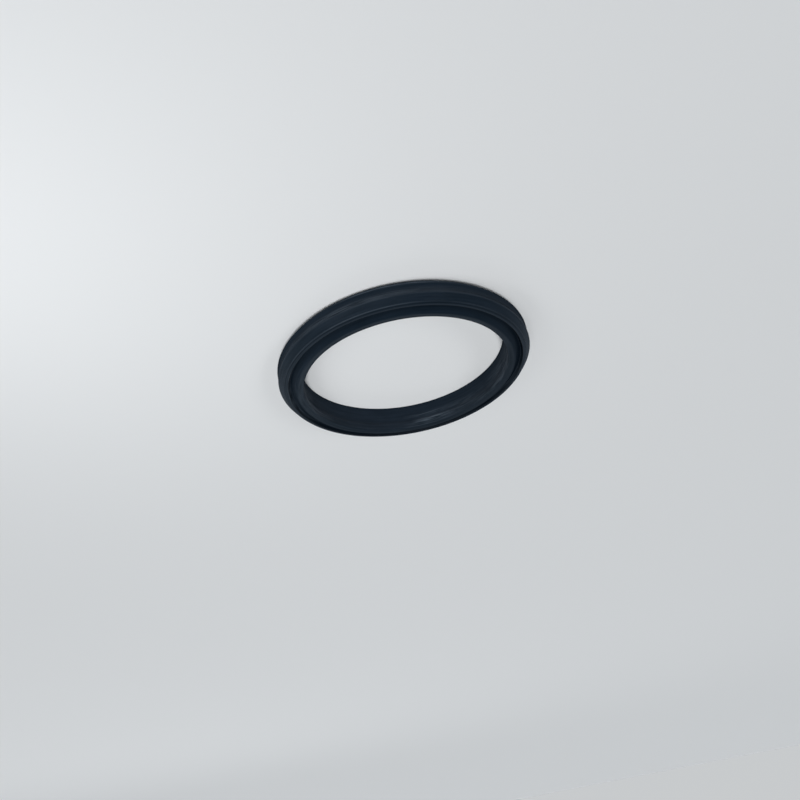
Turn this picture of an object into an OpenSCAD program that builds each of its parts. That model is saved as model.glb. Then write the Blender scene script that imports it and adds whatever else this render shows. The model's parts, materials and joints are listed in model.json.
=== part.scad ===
// One-piece rubber lip seal ring: a U-shaped section turned about the ring's axis.
// The ring lies on its flat heel at z = 0, with the grooved lip face up.
// Sizes are in millimetres. Depths on the inner lip and the groove are measured down from the
// crown, the top of the inner lip, and those on the outer lip from its own tip.

/* [Ring] */
// Diameter of the rod that the heel's bore runs on
rod_d = 45; // [30:1:120]
// Radial width of the section, from the rod to the housing
section_w = 5; // [4.5:0.1:8]
// Height of the ring along its axis
height = 6.3; // [5.4:0.1:10]

/* [Inner lip] */
// How far the crest of the inner lip reaches into the bore
crest_bite = 0.3; // [0.1:0.05:0.6]
// Depth of that crest below the crown
crest_depth = 1.5; // [1:0.1:2]
// Length over which the bore opens out again behind the crest
crest_run_out = 0.9; // [0.6:0.1:1.6]
// How far the lead-in opens at the lip face, from the crest
lead_in = 0.15; // [0.1:0.05:0.5]
// How far the face of the inner lip rises from the bore to its crown
crown_rise = 0.15; // [0.05:0.05:0.4]
// Radial width of that rise
crown_rise_w = 1; // [0.6:0.05:1.2]
// Radial width of the flat crown
crown_w = 0.45; // [0.3:0.05:0.8]

/* [Groove in the lip face] */
// Depth of the groove below the crown
groove_depth = 1.1; // [0.8:0.1:3.6]
// Share of the groove's mouth that its inner wall slopes across
inner_wall_share = 0.7; // [0.2:0.05:0.75]
// Share of the groove's mouth that its outer wall slopes across
outer_wall_share = 0.2; // [0.05:0.05:0.2]
// Fillet along each side of the groove's floor
floor_r = 0.2; // [0.1:0.02:0.5]

/* [Outer lip] */
// How far the outer lip's tip lies below the crown
tip_drop = 0.35; // [0:0.05:0.6]
// Width of that tip, between the groove and the bevel
tip_w = 0.5; // [0.2:0.05:0.6]
// Radial width of the bevel behind the tip
bevel_w = 1.4; // [1.3:0.05:2]
// Height of that bevel
bevel_h = 1.7; // [1.5:0.05:2.4]

/* [Outer surface] */
// Height of the band between the bevel and the waist
shoulder_band_h = 0.35; // [0.35:0.05:0.9]
// Depth of the shallow waist round the outside
waist_depth = 0.25; // [0.05:0.05:0.4]
// Height of the band between the waist and the heel's chamfer
heel_band_h = 0.35; // [0.2:0.05:0.8]
// Radial width of the heel's chamfer
heel_chamfer_w = 1.6; // [1:0.05:2]
// Height of the heel's chamfer
heel_chamfer_h = 1.7; // [1.2:0.05:2.2]

/* [Mould line] */
// Depth of the raised mould line on the bevel
mould_line_depth = 0.35; // [0.35:0.05:1.4]
// How far the mould line stands out of the bevel
mould_line_h = 0.1; // [0.02:0.01:0.1]
// Radius of the mould line's rounded back
mould_line_r = 0.15; // [0.11:0.01:0.2]

/* [Rounded edges] */
// Edge between the lip face and the bore
face_edge_r = 0.15; // [0.05:0.01:0.3]
// Turn from the rise of the inner lip's face onto its crown
crown_in_r = 2; // [0.2:0.1:3]
// Edge between the crown and the groove
crown_out_r = 0.6; // [0.05:0.05:0.8]
// Inner edge of the outer lip's tip
tip_inner_r = 0.2; // [0.05:0.01:0.3]
// Outer edge of the outer lip's tip
tip_outer_r = 0.3; // [0.05:0.05:0.8]
// Shoulder between the bevel and the outer surface
shoulder_r = 0.5; // [0.1:0.05:0.9]
// Rim between the outer surface and the heel's chamfer
rim_r = 0.25; // [0.05:0.05:0.5]
// Outer edge of the heel face
heel_outer_r = 2; // [0.2:0.1:3]
// Inner edge of the heel face
heel_inner_r = 0.2; // [0.05:0.05:0.5]
// Crest of the inner lip
crest_r = 0.4; // [0.1:0.05:0.8]
// Hollow behind the inner lip's crest
crest_foot_r = 0.6; // [0.1:0.05:1]

/* [Hidden] */
$fn = 240;
// Largest step along a rounded edge, in degrees
arc_step = 10;
// Share of an edge that the roundings at its two ends may take together
edge_share = 0.98;
bore_r = rod_d / 2;
outer_r = bore_r + section_w;
lip_r = bore_r - crest_bite;
face_bore_r = lip_r + lead_in;
tip_r = outer_r - bevel_w;
heel_face_r = outer_r - heel_chamfer_w;
crown_start = face_bore_r + crown_rise_w;
groove_start = crown_start + crown_w;
groove_end = tip_r - tip_w;
mouth_w = groove_end - groove_start;
floor_start = groove_start + inner_wall_share * mouth_w;
floor_end = groove_end - outer_wall_share * mouth_w;
tip_z = height - tip_drop;
groove_z = height - groove_depth;
crest_z = height - crest_depth;
shoulder_z = tip_z - bevel_h;
waist_low = heel_chamfer_h + heel_band_h;
waist_high = shoulder_z - shoulder_band_h;

// Corners of the section, anticlockwise: radius, height and the rounding of each
CORNERS = [
    [bore_r, 0, heel_inner_r],
    [heel_face_r, 0, heel_outer_r],
    [outer_r, heel_chamfer_h, rim_r],
    [outer_r, shoulder_z, shoulder_r],
    [tip_r, tip_z, tip_outer_r],
    [groove_end, tip_z, tip_inner_r],
    [floor_end, groove_z, floor_r],
    [floor_start, groove_z, floor_r],
    [groove_start, height, crown_out_r],
    [crown_start, height, crown_in_r],
    [face_bore_r, height - crown_rise, face_edge_r],
    [lip_r, crest_z, crest_r],
    [bore_r, crest_z - crest_run_out, crest_foot_r],
];

function unit(v) = v / norm(v);
function cross_z(a, b) = a[0] * b[1] - a[1] * b[0];
function turned(v, a) = [v[0] * cos(a) - v[1] * sin(a), v[0] * sin(a) + v[1] * cos(a)];

// Corners of a closed outline, counted round past its last one
function corner(list, i) = list[(i + len(list)) % len(list)];
function point(list, i) = [corner(list, i)[0], corner(list, i)[1]];
function wanted_r(list, i) = corner(list, i)[2];

// Directions from a corner to the corners before and after it
function to_last(list, i) = unit(point(list, i - 1) - point(list, i));
function to_next(list, i) = unit(point(list, i + 1) - point(list, i));
function half_angle(list, i) = acos(to_last(list, i) * to_next(list, i)) / 2;
function is_convex(list, i) = cross_z(to_next(list, i), to_last(list, i)) > 0;

// How many times over the two roundings on the edge after a corner fit on that edge
function wanted_reach(list, i) = wanted_r(list, i) / tan(half_angle(list, i));
function edge_room(list, i) = norm(point(list, i + 1) - point(list, i))
    / (wanted_reach(list, i) + wanted_reach(list, i + 1));

// Radius of a corner's rounding, less than wanted only where an edge is too short for it
function radius(list, i) = wanted_r(list, i)
    * min(1, edge_share * edge_room(list, i), edge_share * edge_room(list, i - 1));

// Where the rounding of a corner starts, and the centre of its arc
function arc_start(list, i) = point(list, i)
    + to_last(list, i) * radius(list, i) / tan(half_angle(list, i));
function arc_centre(list, i) = point(list, i)
    + unit(to_last(list, i) + to_next(list, i)) * radius(list, i) / sin(half_angle(list, i));

// Points along the arc that rounds a corner, no more than arc_step degrees apart
function arc_points(list, i) =
    let (
        middle = arc_centre(list, i),
        from = arc_start(list, i) - middle,
        sweep = (is_convex(list, i) ? 1 : -1) * (180 - 2 * half_angle(list, i)),
        steps = ceil(abs(sweep) / arc_step)
    )
    [for (k = [0 : steps]) middle + turned(from, sweep * k / steps)];

// A closed outline with each corner rounded by its own arc
module rounded_outline(list) {
    polygon([for (i = [0 : len(list) - 1]) each arc_points(list, i)]);
}

// Shallow hollow round the outside, an arc through its two edges
module waist() {
    half_w = (waist_high - waist_low) / 2;
    r = (half_w * half_w + waist_depth * waist_depth) / (2 * waist_depth);
    translate([outer_r - waist_depth + r, waist_low + half_w]) circle(r = r);
}

// Raised line that the mould's joint leaves along the bevel
module mould_line() {
    outward = unit([bevel_h, bevel_w]);
    on_bevel = [tip_r + mould_line_depth * bevel_w / bevel_h, tip_z - mould_line_depth];
    translate(on_bevel + outward * (mould_line_h - mould_line_r)) circle(r = mould_line_r);
}

module section() {
    difference() {
        rounded_outline(CORNERS);
        waist();
    }
    mould_line();
}

module seal_ring() {
    color([0.13, 0.16, 0.2]) rotate_extrude() section();
}

seal_ring();
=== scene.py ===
"""A one-piece rubber lip seal ring, lying on its heel with the grooved lip face up.

The ring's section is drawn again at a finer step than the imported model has, with the small
unevenness of a moulded part, and turned round the axis. Lengths are in metres.
"""

import json
import math

import bpy
import numpy as np
from mathutils import Matrix, Vector

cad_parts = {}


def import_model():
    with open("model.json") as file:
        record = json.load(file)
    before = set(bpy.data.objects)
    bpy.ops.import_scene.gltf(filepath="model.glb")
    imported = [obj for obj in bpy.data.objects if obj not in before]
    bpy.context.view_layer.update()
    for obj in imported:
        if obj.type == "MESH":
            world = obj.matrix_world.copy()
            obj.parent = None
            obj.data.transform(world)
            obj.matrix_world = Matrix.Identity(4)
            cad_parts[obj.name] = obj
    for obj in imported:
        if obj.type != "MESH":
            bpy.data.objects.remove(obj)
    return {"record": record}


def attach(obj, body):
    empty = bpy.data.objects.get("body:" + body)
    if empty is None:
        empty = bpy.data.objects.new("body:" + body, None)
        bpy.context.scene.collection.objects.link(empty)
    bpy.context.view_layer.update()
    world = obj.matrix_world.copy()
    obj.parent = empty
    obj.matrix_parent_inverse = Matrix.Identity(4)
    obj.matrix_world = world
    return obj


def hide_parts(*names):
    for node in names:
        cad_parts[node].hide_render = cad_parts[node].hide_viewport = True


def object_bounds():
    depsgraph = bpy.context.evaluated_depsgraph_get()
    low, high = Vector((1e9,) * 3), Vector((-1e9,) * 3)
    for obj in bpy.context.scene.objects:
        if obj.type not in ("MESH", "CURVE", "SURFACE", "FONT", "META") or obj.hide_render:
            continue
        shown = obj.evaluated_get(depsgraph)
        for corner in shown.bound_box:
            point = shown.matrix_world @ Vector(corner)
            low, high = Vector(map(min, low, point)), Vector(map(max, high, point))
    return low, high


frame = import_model()
cad_low, cad_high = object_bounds()

MM = 0.001
NODE = "seal_ring"
MOUNTS = {mount["name"]: mount for mount in frame["record"]["mounts"]}

# The ring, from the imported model
OUTER_R = cad_high.x
HEIGHT = cad_high.z
BORE_R = MOUNTS["rod_bore"]["dims"]["r_mm"] * MM

# Inner lip
CREST_BITE = 0.3 * MM
CREST_DEPTH = 1.5 * MM
CREST_RUN_OUT = 0.9 * MM
LEAD_IN = 0.15 * MM
CROWN_RISE = 0.15 * MM
CROWN_RISE_W = 1 * MM
CROWN_W = 0.45 * MM

# Groove in the lip face
GROOVE_DEPTH = 1.1 * MM
INNER_WALL_SHARE = 0.7
OUTER_WALL_SHARE = 0.2
FLOOR_R = 0.2 * MM

# Outer lip
TIP_DROP = 0.35 * MM
TIP_W = 0.5 * MM
BEVEL_W = 1.4 * MM
BEVEL_H = 1.7 * MM

# Outer surface
SHOULDER_BAND_H = 0.35 * MM
WAIST_DEPTH = 0.25 * MM
HEEL_BAND_H = 0.35 * MM
HEEL_CHAMFER_W = 1.6 * MM
HEEL_CHAMFER_H = 1.7 * MM

# Mould line on the bevel
MOULD_LINE_DEPTH = 0.35 * MM
MOULD_LINE_H = 0.1 * MM
MOULD_LINE_R = 0.15 * MM

# Rounded edges
FACE_EDGE_R = 0.15 * MM
CROWN_IN_R = 2 * MM
CROWN_OUT_R = 0.6 * MM
TIP_INNER_R = 0.2 * MM
TIP_OUTER_R = 0.3 * MM
SHOULDER_R = 0.5 * MM
RIM_R = 0.25 * MM
HEEL_OUTER_R = 2 * MM
HEEL_INNER_R = 0.2 * MM
CREST_R = 0.4 * MM
CREST_FOOT_R = 0.6 * MM

# Places on the section that follow from these
LIP_R = BORE_R - CREST_BITE
FACE_BORE_R = LIP_R + LEAD_IN
CROWN_START = FACE_BORE_R + CROWN_RISE_W
GROOVE_START = CROWN_START + CROWN_W
TIP_R = OUTER_R - BEVEL_W
GROOVE_END = TIP_R - TIP_W
MOUTH_W = GROOVE_END - GROOVE_START
TIP_Z = HEIGHT - TIP_DROP
SHOULDER_Z = TIP_Z - BEVEL_H
GROOVE_Z = HEIGHT - GROOVE_DEPTH
CREST_Z = HEIGHT - CREST_DEPTH
BEVEL_LENGTH = math.hypot(BEVEL_W, BEVEL_H)

# How soft the two edges of the waist are
WAIST_EASING = 0.08

# Gloss at each corner of the section, as the weight of the rubber's clear coat
HEEL_INNER_GLOSS = 0.06
HEEL_OUTER_GLOSS = 0.3
RIM_GLOSS = 0.06
SHOULDER_GLOSS = 0.2
TIP_GLOSS = 0.16
GROOVE_GLOSS = 0.05
CROWN_OUTER_GLOSS = 0.06
CROWN_INNER_GLOSS = 0.15
BORE_EDGE_GLOSS = 0.12
CREST_GLOSS = 0.105
BORE_GLOSS = 0.075

# Gloss of the outer surface, at shares of the height between the heel's chamfer and the bevel
SURFACE_GLOSS = [(0.2, 0.06), (0.45, 0.09), (0.75, 0.12), (1, 0.15)]

# Painted highlight on each edge: how pale it is painted, and how wide
RIM_HIGHLIGHT = 0.25
LINE_HIGHLIGHT = 0.31
TIP_HIGHLIGHT = 0.08
BORE_EDGE_HIGHLIGHT = 0.06
HIGHLIGHT_WIDTH = 0.15 * MM

# Painted shade and light as a share of the rubber's colour: at shares of the groove's width, and on the
# bore
GROOVE_SHADE = [(0.15, 1), (0.45, 0.78), (0.8, 0.72), (0.93, 0.4), (0.99, 0.4), (1.05, 1)]
BORE_SHADE = 1.1

# Painted shade, lightness and gloss, between tip and mould line, and where that gap is down the bevel
GAP_SHADE = 0.65
GAP_AT = 0.16 * MM
GAP_WIDTH = 0.1 * MM

# Unevenness that moulding leaves, in waves round the ring
WAVE_COUNTS = (2, 3, 5, 8, 13)
LINE_WAVE_SEED = 3
TIP_WAVE_SEED = 7
TIP_WAVE = 0.012 * MM
TIP_WAVE_WIDTH = 0.3 * MM
TIP_WAVE_DEPTH = 0.6 * MM

# Height of the mould line round the ring, as shares of its full height
LINE_MIDDLE = 0.65
LINE_SWING = 0.35
LINE_WAVE = 0.2
LINE_LEAST = 0.15
LINE_PROUDEST_AT = math.radians(-72)

# How much faster than its height the painted highlight on the mould line fades, as a power
LINE_FADING = 4

# Painted highlights and painted light: azimuth and half width in degrees, place and half width along
# the section in millimetres, and strength
PAINTED_HIGHLIGHTS = [
    # On the bore and its crest
    (100, 13, 16.45, 0.55, 1),
    (97, 15, 18.1, 0.45, 0.4),
    (100, 22, 15.25, 0.25, 0.35),
    (99, 18, 15.8, 0.5, 0.25),
    (152, 25, 15.5, 0.6, 0.4),
    (165, 12, 15.3, 0.4, 0.3),
    (164, 22, 17.4, 2.4, 0.5),
    (118, 30, 17, 1.9, 0.3),
    (10, 24, 15.6, 0.8, 0.4),
    (-4, 20, 17.6, 2.2, 0.6),
    # On the inner lip's crown
    (-8, 42, 14.2, 1.3, 0.2),
    # Painted light that lifts the shade in the groove
    (7, 24, 11.9, 1.3, 0.45),
    (-18, 26, 11.3, 0.6, 0.9),
    (160, 24, 11.4, 0.6, 0.3),
    # On the upper waist and the rim
    (-72, 46, 7.6, 0.8, 0.5),
    (-92, 26, 5.75, 0.25, 1),
]

# Colours of the rubber: its darker and lighter mottling, and of its painted highlights
RUBBER_DARK = (0.004, 0.0083, 0.0138, 1)
RUBBER_LIGHT = (0.0084, 0.0146, 0.0232, 1)
RUBBER_HIGHLIGHT = (0.05, 0.066, 0.085, 1)

# Noises on the skin: grains to a millimetre in three directions, the last along the section, and detail
STREAKS = ((0.09, 0.09, 2.6), 3)
MOTTLING = ((0.16, 0.16, 0.4), 4)
GRAIN = ((5, 5, 5), 2)
HIGHLIGHT_BREAKS = ((0.22, 0.22, 4.2), 2)

# What is made of those noises, each as a factor and what is added
BROKEN_HIGHLIGHTS = (4, -1.4)
UNEVEN_HIGHLIGHT = (1.6, 0.2)
STREAKY_TONE = (1.4, -0.8)
STREAKY_GLOSS = (0.9, 0.55)
MOTTLED_ROUGHNESS = (0.3, 0.45)

# Shares of the mottling in the tone, of the painted highlights in the gloss and of the streaks in the
# relief
MOTTLED_TONE = 1.2
HIGHLIGHT_GLOSS = 0.08
STREAKY_RELIEF = 0.5

# Relief and clear coat of the rubber
RELIEF_STRENGTH = 0.12
RELIEF_HEIGHT = 0.05 * MM
COAT_ROUGHNESS = 0.25
COAT_IOR = 2.2

# Fineness of the mesh
SEGMENTS = 360
ARC_STEP = math.radians(14)
FEWEST_ARC_STEPS = 4
COARSE_STEP = 0.5 * MM
MIDDLE_STEP = 0.1 * MM
FINE_STEP = 0.035 * MM

# Lengths closer than this count as the same
CLOSE = 0.01 * MM

# Camera, as the photograph was taken, with its angles in degrees
FRAME_PIXELS = 800
FOCAL_PIXELS = 750
SENSOR_WIDTH = 36
NEAREST_SEEN = 5 * MM
AIM = Vector((2.52 * MM, 7.97 * MM, HEIGHT - 0.1 * MM))
CAMERA_DISTANCE = 169.3 * MM
CAMERA_ELEVATION = 29.56
CAMERA_BEARING = -90.98
CAMERA_ROLL = 169.0

# Floor, which reaches some metres each way and is a little bluer where the rubber mirrors it
FLOOR_REACH = 8
FLOOR_ROUGHNESS = 0.9
FLOOR_COLOUR = (0.81, 0.82, 0.825, 1)
MIRRORED_FLOOR_COLOUR = (0.68, 0.76, 0.86, 1)

# Surroundings: colour of the mirrored patches, colour and level of the backdrop, level of the even fill
SKY_COLOUR = (0.84, 0.98, 1.1, 1)
BACKDROP_COLOUR = (0.95, 0.98, 1, 1)
BACKDROP_LEVEL = 0.605
FILL_LEVEL = 0.05

# Soft patches of light that the rubber mirrors: azimuth and elevation in degrees, then strength
PATCHES = [
    (0, 8, 0.1),
    (45, 8, 0.55),
    (90, 8, 0.85),
    (135, 8, 0.3),
    (270, 8, 0.6),
    (315, 8, 0.45),
    (30, 36, 0.2),
    (150, 36, 0.32),
    (210, 36, 0.08),
    (30, 65, 0.4),
]

# How narrow each patch is
PATCH_FOCUS = 7

# Colour of every lamp
LAMP_COLOUR = (0.98, 0.99, 1)

# Far lamps: name, then azimuth, elevation and the angle that it fills in degrees, then strength
FAR_LAMPS = [
    ("key", -90, 50, 12, 2.15),
    ("low", -135, 30, 20, 0.5),
    ("side", -60, 50, 20, 0.35),
]

# Near lamps: name, then place and width in millimetres, then power in watts
NEAR_LAMPS = [
    ("near", (80, -75, 75), 60, 0.025),
    ("behind", (300, 550, 500), 400, 0.3),
]


def direction_to(azimuth, elevation):
    """Unit vector towards a place on the sky, given in degrees."""
    a, e = math.radians(azimuth), math.radians(elevation)
    return Vector((math.cos(e) * math.cos(a), math.cos(e) * math.sin(a), math.sin(e)))


def bell(distance, width):
    """Smooth fall from 1 in the middle towards 0 beyond a width."""
    return np.exp(-((distance / width) ** 2))


def table_at(places, table):
    """Values of a short table of places and values, with straight lines between its rows."""
    return np.interp(places, *zip(*table))


def rounded_corner(before, here, after, radius):
    """Points along the arc that rounds one corner of an outline, from the first edge to the second."""
    to_last = (before - here) / np.linalg.norm(before - here)
    to_next = (after - here) / np.linalg.norm(after - here)
    half_angle = math.acos(np.clip(to_last @ to_next, -1, 1)) / 2
    bisector = (to_last + to_next) / np.linalg.norm(to_last + to_next)
    centre = here + bisector * radius / math.sin(half_angle)
    start = here + to_last * radius / math.tan(half_angle) - centre
    turn = math.pi - 2 * half_angle
    if to_next[0] * to_last[1] - to_next[1] * to_last[0] < 0:
        turn = -turn
    steps = max(FEWEST_ARC_STEPS, math.ceil(abs(turn) / ARC_STEP))
    angles = turn * np.arange(steps + 1) / steps
    cos, sin = np.cos(angles), np.sin(angles)
    return centre + np.column_stack([start[0] * cos - start[1] * sin, start[0] * sin + start[1] * cos])


def section_corners():
    """Corners of the section, anticlockwise.

    Each has its radius, height, rounding, step along the edge after it, gloss and painted highlight.
    """
    floor_start = GROOVE_START + INNER_WALL_SHARE * MOUTH_W
    floor_end = GROOVE_END - OUTER_WALL_SHARE * MOUTH_W
    return [
        (BORE_R, 0, HEEL_INNER_R, COARSE_STEP, HEEL_INNER_GLOSS, 0),
        (OUTER_R - HEEL_CHAMFER_W, 0, HEEL_OUTER_R, MIDDLE_STEP, HEEL_OUTER_GLOSS, 0),
        (OUTER_R, HEEL_CHAMFER_H, RIM_R, MIDDLE_STEP, RIM_GLOSS, RIM_HIGHLIGHT),
        (OUTER_R, SHOULDER_Z, SHOULDER_R, FINE_STEP, SHOULDER_GLOSS, 0),
        (TIP_R, TIP_Z, TIP_OUTER_R, MIDDLE_STEP, TIP_GLOSS, TIP_HIGHLIGHT),
        (GROOVE_END, TIP_Z, TIP_INNER_R, MIDDLE_STEP, TIP_GLOSS, 0),
        (floor_end, GROOVE_Z, FLOOR_R, MIDDLE_STEP, GROOVE_GLOSS, 0),
        (floor_start, GROOVE_Z, FLOOR_R, MIDDLE_STEP, GROOVE_GLOSS, 0),
        (GROOVE_START, HEIGHT, CROWN_OUT_R, MIDDLE_STEP, CROWN_OUTER_GLOSS, 0),
        (CROWN_START, HEIGHT, CROWN_IN_R, MIDDLE_STEP, CROWN_INNER_GLOSS, 0),
        (FACE_BORE_R, HEIGHT - CROWN_RISE, FACE_EDGE_R, MIDDLE_STEP, BORE_EDGE_GLOSS, BORE_EDGE_HIGHLIGHT),
        (LIP_R, CREST_Z, CREST_R, MIDDLE_STEP, CREST_GLOSS, 0),
        (BORE_R, CREST_Z - CREST_RUN_OUT, CREST_FOOT_R, MIDDLE_STEP, BORE_GLOSS, 0),
    ]


def section_outline():
    """The section's closed outline, without waist and mould line.

    Gives for each point its radius, height, distance along the outline, gloss and painted highlight.
    """
    corner_r, corner_z, roundings, edge_steps, corner_gloss, corner_highlight = zip(*section_corners())
    places = np.column_stack([corner_r, corner_z])
    count = len(places)
    arcs = [
        rounded_corner(places[i - 1], places[i], places[(i + 1) % count], roundings[i])
        for i in range(count)
    ]
    points = []
    middles = []
    for i, arc in enumerate(arcs):
        middles.append(len(points) + len(arc) // 2)
        points.extend(arc)
        following = arcs[(i + 1) % count][0]
        length = np.linalg.norm(following - arc[-1])
        steps = max(1, math.ceil(length / edge_steps[i]))
        points.extend(arc[-1] + (following - arc[-1]) * k / steps for k in range(1, steps))
    r, z = np.array(points).T
    along = np.concatenate([[0], np.cumsum(np.hypot(np.diff(r), np.diff(z)))])
    marks = along[middles]
    gloss = np.interp(along, [*marks, along[-1]], [*corner_gloss, HEEL_INNER_GLOSS])
    # Painted highlights along some edges of the section
    edge_highlight = sum(share * bell(along - mark, HIGHLIGHT_WIDTH) for share, mark in zip(corner_highlight, marks))
    return r, z, along, gloss, edge_highlight


def waist_depth_at(z):
    """Depth of the waist round the outside at a height, with its two edges eased."""
    low = HEEL_CHAMFER_H + HEEL_BAND_H
    high = SHOULDER_Z - SHOULDER_BAND_H
    place = (2 * z - low - high) / (high - low)
    hollow = 1 - place**2
    return WAIST_DEPTH * WAIST_EASING * np.logaddexp(0, hollow / WAIST_EASING)


def down_bevel(r, z):
    """Distance down the bevel from the outer lip's tip."""
    return np.hypot(TIP_Z - z, r - TIP_R)


def mould_line_height_at(r, z):
    """How far the mould line stands out of the bevel at points of the section."""
    middle = MOULD_LINE_DEPTH * BEVEL_LENGTH / BEVEL_H
    back = np.sqrt(np.clip(MOULD_LINE_R**2 - (down_bevel(r, z) - middle) ** 2, 0, None))
    height = np.clip(back - MOULD_LINE_R + MOULD_LINE_H, 0, None)
    return np.where((z > SHOULDER_Z) & (r > TIP_R), height, 0)


def shade_at(r, z):
    """Painted shade in the groove and painted light on the bore, as a share of the rubber's colour."""
    groove = table_at((r - GROOVE_START) / MOUTH_W, GROOVE_SHADE)
    on_face = z > GROOVE_Z - FLOOR_R
    on_bore = (r < BORE_R + CLOSE) & (z < CREST_Z)
    return np.where(on_face, groove, np.where(on_bore, BORE_SHADE, 1))


def gap_shade_at(r, z):
    """Painted shade and dullness between the tip and the mould line, as a share, 1 elsewhere."""
    within = bell(down_bevel(r, z) - GAP_AT, GAP_WIDTH)
    return np.where(r > TIP_R, 1 - (1 - GAP_SHADE) * within, 1)


def waves(turns, seed):
    """A smooth closed curve round the ring with values of about -1 to 1."""
    phases = np.random.default_rng(seed).uniform(0, 2 * math.pi, len(WAVE_COUNTS))
    total = sum(np.sin(n * turns + phase) for n, phase in zip(WAVE_COUNTS, phases))
    return total / math.sqrt(len(WAVE_COUNTS))


def line_share_at(turns):
    """Height of the mould line round the ring, as a share of its full height."""
    swing = LINE_SWING * np.cos(turns - LINE_PROUDEST_AT)
    dips = LINE_WAVE * (1 + waves(turns, LINE_WAVE_SEED)) / 2
    return np.clip(LINE_MIDDLE + swing - dips, LINE_LEAST, 1)


def point_values(mesh, name, kind, values):
    """Stores one number or vector for each point of a mesh."""
    layer = mesh.attributes.new(name, kind, "POINT")
    layer.data.foreach_set("vector" if kind == "FLOAT_VECTOR" else "value", np.ravel(values))


def closed_mesh(name, grid):
    """Mesh of a grid of points that closes on itself both ways."""
    index = np.arange(grid.shape[0] * grid.shape[1]).reshape(grid.shape[:2])
    ahead = np.roll(index, -1, axis=0)
    faces = np.stack([index, ahead, np.roll(ahead, -1, axis=1), np.roll(index, -1, axis=1)], axis=-1)
    mesh = bpy.data.meshes.new(name)
    mesh.from_pydata(grid.reshape(-1, 3).tolist(), [], faces.reshape(-1, 4).tolist())
    mesh.shade_smooth()
    return mesh


def ring_mesh():
    """The section turned round the axis, with waist, mould line and a little unevenness.

    Each point also keeps its gloss, its painted highlight, its painted shade and its place on the skin:
    round the ring and along the section.
    """
    r, z, along, gloss, edge_highlight = section_outline()
    outside = (r > OUTER_R - CLOSE) & (z < SHOULDER_Z)
    up_the_outside = (z - HEEL_CHAMFER_H) / (SHOULDER_Z - HEEL_CHAMFER_H)
    # Painted shade in the crease between the tip and the mould line, which also dulls the gloss
    gap = gap_shade_at(r, z)
    gloss = np.where(outside, table_at(up_the_outside, SURFACE_GLOSS), gloss) * gap
    # Painted shade in the groove and the gap, painted light on the bore
    shade = shade_at(r, z) * gap
    waist = np.where(outside, waist_depth_at(z), 0)
    line = mould_line_height_at(r, z)
    from_tip_middle = r - (TIP_R - TIP_W / 2)
    on_tip = bell(from_tip_middle, TIP_WAVE_WIDTH) * (z > HEIGHT - TIP_WAVE_DEPTH)

    turns = np.linspace(0, 2 * math.pi, SEGMENTS, endpoint=False)
    line_share = line_share_at(turns)[:, None]
    proud = line_share * line
    # Painted highlight on the mould line, paler where the line stands prouder
    edge_highlight = edge_highlight + LINE_HIGHLIGHT * line_share**LINE_FADING * line / MOULD_LINE_H
    tip_wave = TIP_WAVE * (waves(turns, TIP_WAVE_SEED)[:, None] - 1)
    radius = r - waist + proud * BEVEL_H / BEVEL_LENGTH
    height = z + proud * BEVEL_W / BEVEL_LENGTH + tip_wave * on_tip
    cos, sin = np.cos(turns)[:, None], np.sin(turns)[:, None]
    mesh = closed_mesh("seal_ring_skin", np.stack([cos * radius, sin * radius, height], axis=-1))

    skin = np.empty((*height.shape, 3))
    skin[..., 0] = cos * OUTER_R / MM
    skin[..., 1] = sin * OUTER_R / MM
    skin[..., 2] = along / MM
    point_values(mesh, "skin", "FLOAT_VECTOR", skin)
    point_values(mesh, "gloss", "FLOAT", np.broadcast_to(gloss, height.shape))
    point_values(mesh, "edge_highlight", "FLOAT", edge_highlight)
    point_values(mesh, "shade", "FLOAT", np.broadcast_to(shade, height.shape))
    mesh.update()
    return mesh


def feed(tree, socket, value):
    """Gives an input another node's output, or a plain value."""
    if isinstance(value, bpy.types.NodeSocket):
        tree.links.new(value, socket)
    else:
        socket.default_value = value


def attribute(tree, name, output):
    """Socket with a value that the mesh keeps for each of its points."""
    node = tree.nodes.new("ShaderNodeAttribute")
    node.attribute_name = name
    return node.outputs[output]


def calculated(tree, operation, *values, clamp=False):
    """Socket with the result of one sum on sockets or plain numbers."""
    node = tree.nodes.new("ShaderNodeMath")
    node.operation = operation
    node.use_clamp = clamp
    for socket, value in zip(node.inputs, values):
        feed(tree, socket, value)
    return node.outputs[0]


def vector_result(tree, operation, vector, other):
    """Node that works on a vector socket and a plain vector."""
    node = tree.nodes.new("ShaderNodeVectorMath")
    node.operation = operation
    node.inputs[1].default_value = other
    tree.links.new(vector, node.inputs[0])
    return node


def mixed(tree, kind, share, first, second):
    """Socket with a mix of two numbers or colours, all of the first where the share is 0."""
    node = tree.nodes.new("ShaderNodeMix")
    node.data_type = kind
    feed(tree, node.inputs["Factor"], share)
    feed(tree, node.inputs["A"], first)
    feed(tree, node.inputs["B"], second)
    return node.outputs["Result"]


def ray_is(tree, kind):
    """Socket that is 1 for one kind of ray and 0 for all others."""
    return tree.nodes.new("ShaderNodeLightPath").outputs[f"Is {kind} Ray"]


def noise(tree, place, stretch, detail):
    """Socket with a noise of about 0 to 1 whose grain is stretched by three scales."""
    texture = tree.nodes.new("ShaderNodeTexNoise")
    texture.inputs["Scale"].default_value = 1
    texture.inputs["Detail"].default_value = detail
    tree.links.new(vector_result(tree, "MULTIPLY", place, stretch).outputs[0], texture.inputs["Vector"])
    return texture.outputs["Fac"]


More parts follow.
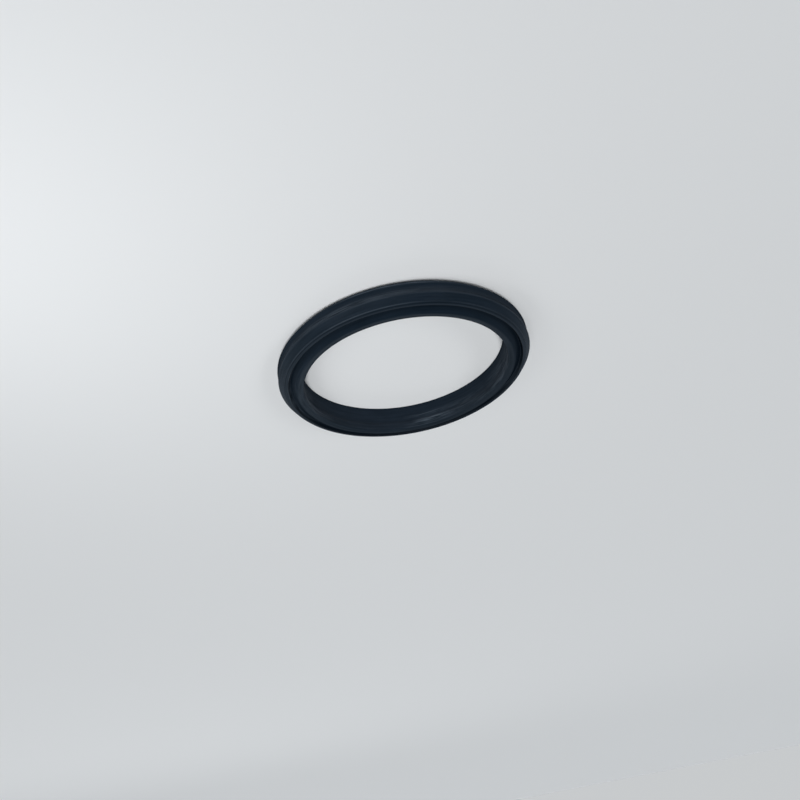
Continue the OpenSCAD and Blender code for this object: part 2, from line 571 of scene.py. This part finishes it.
def painted_highlight_marks(tree, skin):
    """Socket with the strength of the painted highlights, 0 where there are none."""
    parts = tree.nodes.new("ShaderNodeSeparateXYZ")
    tree.links.new(skin, parts.inputs[0])
    total = 0
    for azimuth, half_turn, middle, half_width, strength in PAINTED_HIGHLIGHTS:
        facing = vector_result(tree, "DOT_PRODUCT", skin, direction_to(azimuth, 0) * MM / OUTER_R)
        limit = math.cos(math.radians(half_turn))
        within = calculated(tree, "SUBTRACT", facing.outputs["Value"], limit)
        within = calculated(tree, "DIVIDE", within, 1 - limit, clamp=True)
        aside = calculated(tree, "SUBTRACT", parts.outputs["Z"], middle)
        aside = calculated(tree, "DIVIDE", aside, half_width)
        aside = calculated(tree, "MULTIPLY", aside, aside)
        close = calculated(tree, "SUBTRACT", 1, aside, clamp=True)
        mark = calculated(tree, "MULTIPLY", within, close)
        total = calculated(tree, "MULTIPLY_ADD", mark, strength, total)
    return total


def highlight_paleness(tree, skin, streaks):
    """Socket with how pale the painted highlights make the rubber, 0 where there are none."""
    breaks = calculated(tree, "MULTIPLY_ADD", noise(tree, skin, *HIGHLIGHT_BREAKS), *BROKEN_HIGHLIGHTS, clamp=True)
    highlights = calculated(tree, "MULTIPLY", painted_highlight_marks(tree, skin), breaks)
    unevenness = calculated(tree, "MULTIPLY_ADD", streaks, *UNEVEN_HIGHLIGHT)
    edge_highlight = calculated(tree, "MULTIPLY", attribute(tree, "edge_highlight", "Fac"), unevenness)
    return calculated(tree, "ADD", highlights, edge_highlight, clamp=True)


def rubber_colour(tree, streaks, mottling, highlight):
    """Socket with the rubber's colour: mottled, with painted shade and painted highlights."""
    tone = calculated(tree, "MULTIPLY_ADD", streaks, *STREAKY_TONE)
    tone = calculated(tree, "MULTIPLY_ADD", mottling, MOTTLED_TONE, tone, clamp=True)
    shaded = tree.nodes.new("ShaderNodeVectorMath")
    shaded.operation = "SCALE"
    tree.links.new(mixed(tree, "RGBA", tone, RUBBER_DARK, RUBBER_LIGHT), shaded.inputs[0])
    tree.links.new(attribute(tree, "shade", "Fac"), shaded.inputs["Scale"])
    return mixed(tree, "RGBA", highlight, shaded.outputs[0], RUBBER_HIGHLIGHT)


def rubber():
    """Blue-black moulded rubber: satin, with faint streaks round the ring, mottling and a fine grain."""
    material = bpy.data.materials.new("rubber")
    material.use_nodes = True
    tree = material.node_tree
    shader = tree.nodes["Principled BSDF"]
    skin = attribute(tree, "skin", "Vector")
    streaks = noise(tree, skin, *STREAKS)
    mottling = noise(tree, skin, *MOTTLING)
    # Painted highlights, on edges and in patches, mixed into the colour and the gloss
    highlight = highlight_paleness(tree, skin, streaks)
    feed(tree, shader.inputs["Base Color"], rubber_colour(tree, streaks, mottling, highlight))

    unevenness = calculated(tree, "MULTIPLY_ADD", streaks, *STREAKY_GLOSS)
    gloss = calculated(tree, "MULTIPLY", attribute(tree, "gloss", "Fac"), unevenness)
    gloss = calculated(tree, "MULTIPLY_ADD", highlight, HIGHLIGHT_GLOSS, gloss)
    roughness = calculated(tree, "MULTIPLY_ADD", mottling, *MOTTLED_ROUGHNESS)
    relief = calculated(tree, "MULTIPLY_ADD", streaks, STREAKY_RELIEF, noise(tree, skin, *GRAIN))
    bump = tree.nodes.new("ShaderNodeBump")
    feed(tree, bump.inputs["Strength"], RELIEF_STRENGTH)
    feed(tree, bump.inputs["Distance"], RELIEF_HEIGHT)
    feed(tree, bump.inputs["Height"], relief)
    feed(tree, shader.inputs["Roughness"], roughness)
    feed(tree, shader.inputs["Normal"], bump.outputs[0])
    feed(tree, shader.inputs["Specular IOR Level"], 0)
    feed(tree, shader.inputs["Coat Weight"], gloss)
    feed(tree, shader.inputs["Coat Normal"], bump.outputs[0])
    feed(tree, shader.inputs["Coat Roughness"], COAT_ROUGHNESS)
    feed(tree, shader.inputs["Coat IOR"], COAT_IOR)
    return material


def seal_ring():
    """The rubber ring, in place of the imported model's one node."""
    piece = bpy.data.objects.new("seal_ring_rubber", ring_mesh())
    bpy.context.scene.collection.objects.link(piece)
    piece.data.materials.append(rubber())
    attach(piece, "root")
    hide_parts(NODE)


def floor():
    """A plain, matt and pale floor under the ring."""
    corners = [(x * FLOOR_REACH, y * FLOOR_REACH, 0) for x, y in ((-1, -1), (1, -1), (1, 1), (-1, 1))]
    mesh = bpy.data.meshes.new("floor")
    mesh.from_pydata(corners, [], [(0, 1, 2, 3)])
    plane = bpy.data.objects.new("floor", mesh)
    bpy.context.scene.collection.objects.link(plane)
    material = bpy.data.materials.new("floor")
    material.use_nodes = True
    tree = material.node_tree
    shader = tree.nodes["Principled BSDF"]
    colour = mixed(tree, "RGBA", ray_is(tree, "Glossy"), FLOOR_COLOUR, MIRRORED_FLOOR_COLOUR)
    feed(tree, shader.inputs["Base Color"], colour)
    feed(tree, shader.inputs["Roughness"], FLOOR_ROUGHNESS)
    plane.data.materials.append(material)


def add_lamp(name, lamp, place, strength):
    """Puts a lamp in the scene, aimed at the origin and hidden from the camera and from reflections."""
    lamp.energy = strength
    lamp.color = LAMP_COLOUR
    holder = bpy.data.objects.new(name, lamp)
    bpy.context.scene.collection.objects.link(holder)
    holder.location = place
    holder.rotation_euler = Vector(place).to_track_quat("Z", "Y").to_euler()
    holder.visible_glossy = False
    holder.visible_camera = False


def lamps():
    """Soft far lamps for the shadows, and near ones that make the floor brighter on one side."""
    for name, azimuth, elevation, angle, strength in FAR_LAMPS:
        lamp = bpy.data.lights.new(name, "SUN")
        lamp.angle = math.radians(angle)
        add_lamp(name, lamp, direction_to(azimuth, elevation), strength)
    for name, place, width, power in NEAR_LAMPS:
        lamp = bpy.data.lights.new(name, "AREA")
        lamp.shape = "DISK"
        lamp.size = width * MM
        add_lamp(name, lamp, [length * MM for length in place], power)


def patches_of_light(tree):
    """Socket with the sum of the soft patches in the direction looked at."""
    towards = tree.nodes.new("ShaderNodeTexCoord").outputs["Generated"]
    total = 0
    for azimuth, elevation, strength in PATCHES:
        facing = vector_result(tree, "DOT_PRODUCT", towards, direction_to(azimuth, elevation))
        fall = calculated(tree, "MULTIPLY_ADD", facing.outputs["Value"], PATCH_FOCUS, -PATCH_FOCUS)
        glow = calculated(tree, "EXPONENT", fall)
        total = calculated(tree, "MULTIPLY_ADD", glow, strength, total)
    return total


def world():
    """Soft patches for reflections, an even fill for matt surfaces and a pale backdrop."""
    surroundings = bpy.data.worlds.new("studio")
    bpy.context.scene.world = surroundings
    surroundings.use_nodes = True
    tree = surroundings.node_tree
    background = tree.nodes["Background"]
    seen = ray_is(tree, "Camera")
    level = mixed(tree, "FLOAT", ray_is(tree, "Diffuse"), patches_of_light(tree), FILL_LEVEL)
    level = mixed(tree, "FLOAT", seen, level, BACKDROP_LEVEL)
    feed(tree, background.inputs["Color"], mixed(tree, "RGBA", seen, SKY_COLOUR, BACKDROP_COLOUR))
    feed(tree, background.inputs["Strength"], level)


def camera():
    """The photograph's own view of the ring."""
    lens = bpy.data.cameras.new("camera")
    lens.sensor_width = SENSOR_WIDTH
    lens.lens = SENSOR_WIDTH * FOCAL_PIXELS / FRAME_PIXELS
    lens.clip_start = NEAREST_SEEN
    holder = bpy.data.objects.new("camera", lens)
    bpy.context.scene.collection.objects.link(holder)
    back = direction_to(CAMERA_BEARING, CAMERA_ELEVATION)
    upright = back.to_track_quat("Z", "Y").to_matrix()
    turned = upright @ Matrix.Rotation(math.radians(CAMERA_ROLL), 3, "Z")
    holder.matrix_world = Matrix.Translation(AIM + back * CAMERA_DISTANCE) @ turned.to_4x4()
    bpy.context.scene.camera = holder


camera()
floor()
world()
lamps()
seal_ring()
bpy.context.scene.view_settings.view_transform = "Standard"
